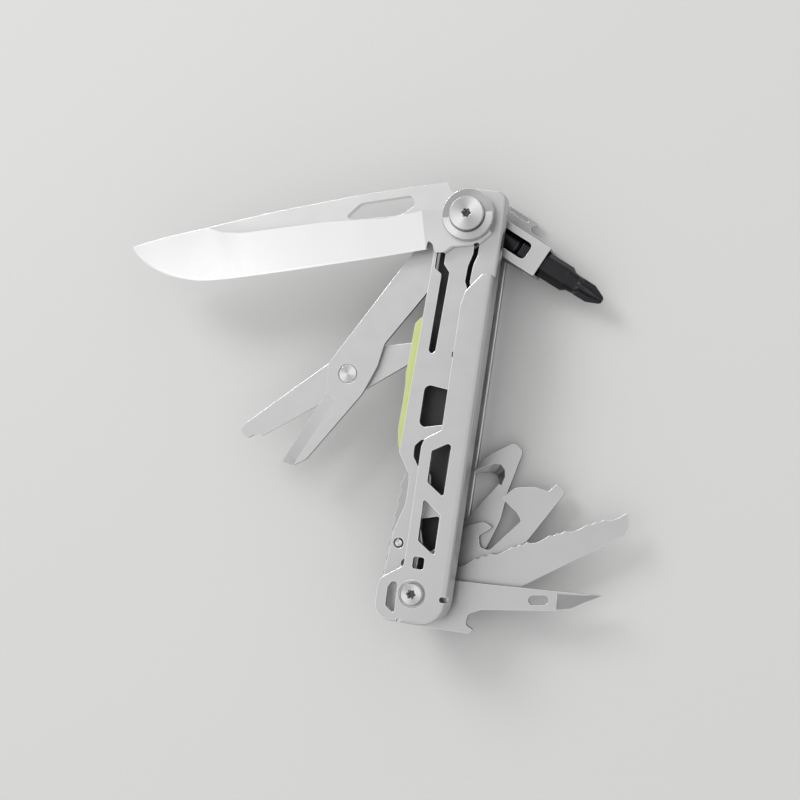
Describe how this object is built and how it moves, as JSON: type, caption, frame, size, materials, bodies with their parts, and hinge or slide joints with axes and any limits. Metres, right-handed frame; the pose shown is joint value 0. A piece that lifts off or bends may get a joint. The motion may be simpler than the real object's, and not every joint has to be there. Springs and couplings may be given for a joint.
{
  "type": "folding multi tool",
  "caption": "Flat folding multi tool with its knife, scissors, bit driver and lower hand tools partly folded out of a sheet-steel body with a coloured side lever.",
  "frame": {"origin": "on the rear cover's flat outer face, midway between the two axles", "axes": "+Z out of the front cover, +Y from the lower axle to the upper axle, +X to the side where the driver and the lower tools stand"},
  "size_m": [0.14, 0.1127, 0.0217],
  "materials": {
    "satin_steel": "bead-blasted stainless sheet with bright cut edges",
    "ground_steel": "fine satin flats with a polished bevel",
    "turned_steel": "turned, bright",
    "black_steel": "black oxide",
    "green_anodised": "pale yellow-green anodising, satin"
  },
  "bodies": {
    "frame": {"rear_cover": "satin_steel", "inner_liner": "black_steel", "lock_plate": "satin_steel", "front_cover": "satin_steel", "thumb_grip_plate": "satin_steel", "grip_rivet": "turned_steel", "lever_pin": "turned_steel", "lower_axle": "turned_steel", "upper_axle": "turned_steel", "lower_pivot_screw": "turned_steel", "blade_pivot_screw": "turned_steel", "pivot_disc": "turned_steel", "tool_washer_1": "turned_steel", "tool_washer_2": "turned_steel", "tool_washer_3": "turned_steel", "lower_spacer": "turned_steel", "lower_front_spacer": "turned_steel", "upper_rear_spacer": "turned_steel", "upper_front_spacer": "turned_steel"},
    "blade": {"main_blade": "ground_steel"},
    "scissors": {"scissors_front_blade": "satin_steel", "scissors_rivet": "turned_steel", "scissors_spring": "turned_steel"},
    "scissors_tail": {"scissors_rear_blade": "satin_steel"},
    "driver": {"driver_arm": "satin_steel", "bit_socket": "black_steel"},
    "bit": {"driver_bit": "black_steel"},
    "awl": {"awl_bottle_opener": "satin_steel"},
    "saw": {"serrated_blade": "satin_steel"},
    "can_opener": {"can_opener": "satin_steel"},
    "strap_hook": {"strap_hook": "satin_steel"},
    "lever": {"release_lever": "green_anodised"}
  },
  "joints": [
    {"name": "blade_pivot", "type": "hinge", "parent": "frame", "child": "blade", "pos_m": [0, 0.048, 0.0175], "axis": [0, 0, 1], "range_deg": [-100.9, 75.3]},
    {"name": "scissors_pivot", "type": "hinge", "parent": "frame", "child": "scissors", "pos_m": [0, 0.048, 0.0132], "axis": [0, 0, 1], "range_deg": [-148.1, 31.9]},
    {"name": "scissors_rivet_pivot", "type": "hinge", "parent": "scissors", "child": "scissors_tail", "pos_m": [-0.027, 0.00462, 0.0125], "axis": [0, 0, 1], "range_deg": [0, 21], "stiffness_Nm_per_rad": 0.03, "springref_deg": -8.59},
    {"name": "driver_pivot", "type": "hinge", "parent": "frame", "child": "driver", "pos_m": [0, 0.048, 0.00585], "axis": [0, 0, 1], "range_deg": [-64.2, 115.8]},
    {"name": "bit_slide", "type": "slide", "parent": "driver", "child": "bit", "axis": [0.9003, -0.4352, 0], "range_m": [0, 0.012]},
    {"name": "awl_pivot", "type": "hinge", "parent": "frame", "child": "awl", "pos_m": [0, -0.048, 0.006], "axis": [0, 0, 1], "range_deg": [-97, 85]},
    {"name": "saw_pivot", "type": "hinge", "parent": "frame", "child": "saw", "pos_m": [0, -0.048, 0.006], "axis": [0, 0, 1], "range_deg": [-117, 63]},
    {"name": "can_opener_pivot", "type": "hinge", "parent": "frame", "child": "can_opener", "pos_m": [0, -0.048, 0.006], "axis": [0, 0, 1], "range_deg": [-133, 46]},
    {"name": "strap_hook_pivot", "type": "hinge", "parent": "frame", "child": "strap_hook", "pos_m": [0, -0.048, 0.006], "axis": [0, 0, 1], "range_deg": [-154, 22]},
    {"name": "lever_pivot", "type": "hinge", "parent": "frame", "child": "lever", "pos_m": [-0.0083, -0.0124, 0.01435], "axis": [0, 0, 1], "range_deg": [-3, 0], "stiffness_Nm_per_rad": 0.05, "springref_deg": 3.44}
  ]
}
